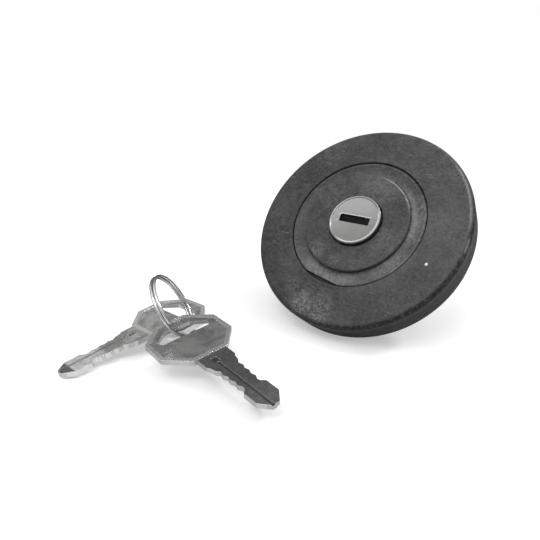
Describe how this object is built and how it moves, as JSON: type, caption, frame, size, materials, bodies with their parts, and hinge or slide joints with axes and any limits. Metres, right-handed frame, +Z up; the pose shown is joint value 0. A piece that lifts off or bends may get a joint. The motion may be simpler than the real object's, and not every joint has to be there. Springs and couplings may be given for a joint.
{
  "type": "deck fill cap",
  "caption": "Lockable deck fill cap: a free-wheeling round cover on a gasketed bayonet neck with a keyed centre lock, and its pair of keys on a split ring.",
  "frame": {"origin": "on the flat surface everything lies on, at the middle of the footprint of the cap and its keys", "axes": "+Z up from that surface; the cap leans on its skirt and the foot of its neck, so its own axis points 51 degrees from +Z towards -Y, and +X runs along the key slot; the cap axis passes through (0.0068, 0.0293, 0.02832) m, the centre of the gasket's sealing plane"},
  "size_m": [0.0836, 0.1161, 0.0596],
  "materials": {
    "cover_plastic": "fine matt grain, lightly worn",
    "body_plastic": "moulded black",
    "lock_stainless": "brushed, bright rolled rim",
    "plate_stainless": "stamped sheet",
    "die_cast_zinc": "die-cast, satin",
    "plated_steel": "bright plated",
    "spring_steel": "drawn wire",
    "wafer_brass": "stamped",
    "seal_rubber": "matt black rubber",
    "key_nickel": "nickel plated, handled",
    "ring_steel": "polished spring wire"
  },
  "bodies": {
    "closure": {"closure_body": "body_plastic", "retaining_ring": "cover_plastic", "centre_disc": "cover_plastic", "disc_screw_1": "plated_steel", "disc_screw_2": "plated_steel", "disc_screw_3": "plated_steel", "disc_screw_4": "plated_steel", "slip_washer": "plate_stainless", "gasket": "seal_rubber", "lock_housing": "die_cast_zinc", "housing_oring": "seal_rubber", "bayonet_spring": "spring_steel", "base_cover": "body_plastic", "base_screw_1": "plated_steel", "base_screw_2": "plated_steel", "base_screw_3": "plated_steel", "vent_cage": "body_plastic", "vent_spring": "spring_steel"},
    "cover": {"outer_cover": "cover_plastic"},
    "lock_cylinder": {"lock_plug": "die_cast_zinc", "lock_face_cap": "lock_stainless", "shutter_pin": "plated_steel", "shutter_spring": "spring_steel", "cam_plate": "plated_steel", "plug_oring": "seal_rubber", "circlip": "spring_steel", "wafer_spring_1": "spring_steel", "wafer_spring_2": "spring_steel", "wafer_spring_3": "spring_steel", "wafer_spring_4": "spring_steel", "wafer_spring_5": "spring_steel", "wafer_spring_6": "spring_steel"},
    "shutter": {"shutter": "plated_steel"},
    "bolt_right": {"coupling_bolt_right": "plated_steel"},
    "bolt_left": {"coupling_bolt_left": "plated_steel"},
    "bayonet": {"bayonet_plate": "plate_stainless"},
    "vent": {"vent_valve": "seal_rubber"},
    "key_ring": {"split_ring": "ring_steel"},
    "key_one": {"key_1": "key_nickel"},
    "key_two": {"key_2": "key_nickel"},
    "wafer_1": {"wafer_1": "wafer_brass"},
    "wafer_2": {"wafer_2": "wafer_brass"},
    "wafer_3": {"wafer_3": "wafer_brass"},
    "wafer_4": {"wafer_4": "wafer_brass"},
    "wafer_5": {"wafer_5": "wafer_brass"},
    "wafer_6": {"wafer_6": "wafer_brass"}
  },
  "joints": [
    {"name": "cover_spin", "type": "hinge", "parent": "closure", "child": "cover", "pos_m": [0.0068, 0.0293, 0.02832], "axis": [0, -0.7771, 0.6293], "continuous": true},
    {"name": "key_turn", "type": "hinge", "parent": "closure", "child": "lock_cylinder", "pos_m": [0.0068, 0.0293, 0.02832], "axis": [0, -0.7771, 0.6293], "range_deg": [-90, 0]},
    {"name": "bolt_right_slide", "type": "slide", "parent": "closure", "child": "bolt_right", "axis": [1, 0, 0], "range_m": [0, 0.0024]},
    {"name": "bolt_left_slide", "type": "slide", "parent": "closure", "child": "bolt_left", "axis": [-1, 0, 0], "range_m": [0, 0.0024]},
    {"name": "shutter_swing", "type": "hinge", "parent": "lock_cylinder", "child": "shutter", "pos_m": [0.0068, 0.02364, 0.03516], "axis": [1, 0, 0], "range_deg": [0, 72]},
    {"name": "bayonet_float", "type": "slide", "parent": "closure", "child": "bayonet", "axis": [0, 0.7771, -0.6293], "range_m": [0, 0.0025], "deforming": ["bayonet_spring"]},
    {"name": "vent_open", "type": "slide", "parent": "closure", "child": "vent", "axis": [0, -0.7771, 0.6293], "range_m": [0, 0.0009], "deforming": ["vent_spring"]},
    {"name": "key_set_lift", "type": "slide", "parent": "closure", "child": "key_ring", "axis": [0, 0, 1], "range_m": [0, 0.04]},
    {"name": "key_one_swing", "type": "hinge", "parent": "key_ring", "child": "key_one", "pos_m": [-0.01646, -0.03083, 0.0077], "axis": [0, 0, 1], "range_deg": [-24, 20]},
    {"name": "key_two_swing", "type": "hinge", "parent": "key_ring", "child": "key_two", "pos_m": [-0.02387, -0.02014, 0.0069], "axis": [0, 0, 1], "range_deg": [-12, 9]},
    {"name": "wafer_1_slide", "type": "slide", "parent": "lock_cylinder", "child": "wafer_1", "axis": [1, 0, 0], "range_m": [0, 0.0009]},
    {"name": "wafer_2_slide", "type": "slide", "parent": "lock_cylinder", "child": "wafer_2", "axis": [-1, 0, 0], "range_m": [0, 0.0009]},
    {"name": "wafer_3_slide", "type": "slide", "parent": "lock_cylinder", "child": "wafer_3", "axis": [1, 0, 0], "range_m": [0, 0.0009]},
    {"name": "wafer_4_slide", "type": "slide", "parent": "lock_cylinder", "child": "wafer_4", "axis": [-1, 0, 0], "range_m": [0, 0.0009]},
    {"name": "wafer_5_slide", "type": "slide", "parent": "lock_cylinder", "child": "wafer_5", "axis": [1, 0, 0], "range_m": [0, 0.0009]},
    {"name": "wafer_6_slide", "type": "slide", "parent": "lock_cylinder", "child": "wafer_6", "axis": [-1, 0, 0], "range_m": [0, 0.0009]}
  ],
  "couplings": [
    {"joint": "bolt_right_slide", "follows": "key_turn", "m_per_rad": -0.001527},
    {"joint": "bolt_left_slide", "follows": "key_turn", "m_per_rad": -0.001527},
    {"joint": "wafer_2_slide", "follows": "wafer_1_slide", "ratio": 1},
    {"joint": "wafer_3_slide", "follows": "wafer_1_slide", "ratio": 1},
    {"joint": "wafer_4_slide", "follows": "wafer_1_slide", "ratio": 1},
    {"joint": "wafer_5_slide", "follows": "wafer_1_slide", "ratio": 1},
    {"joint": "wafer_6_slide", "follows": "wafer_1_slide", "ratio": 1}
  ]
}
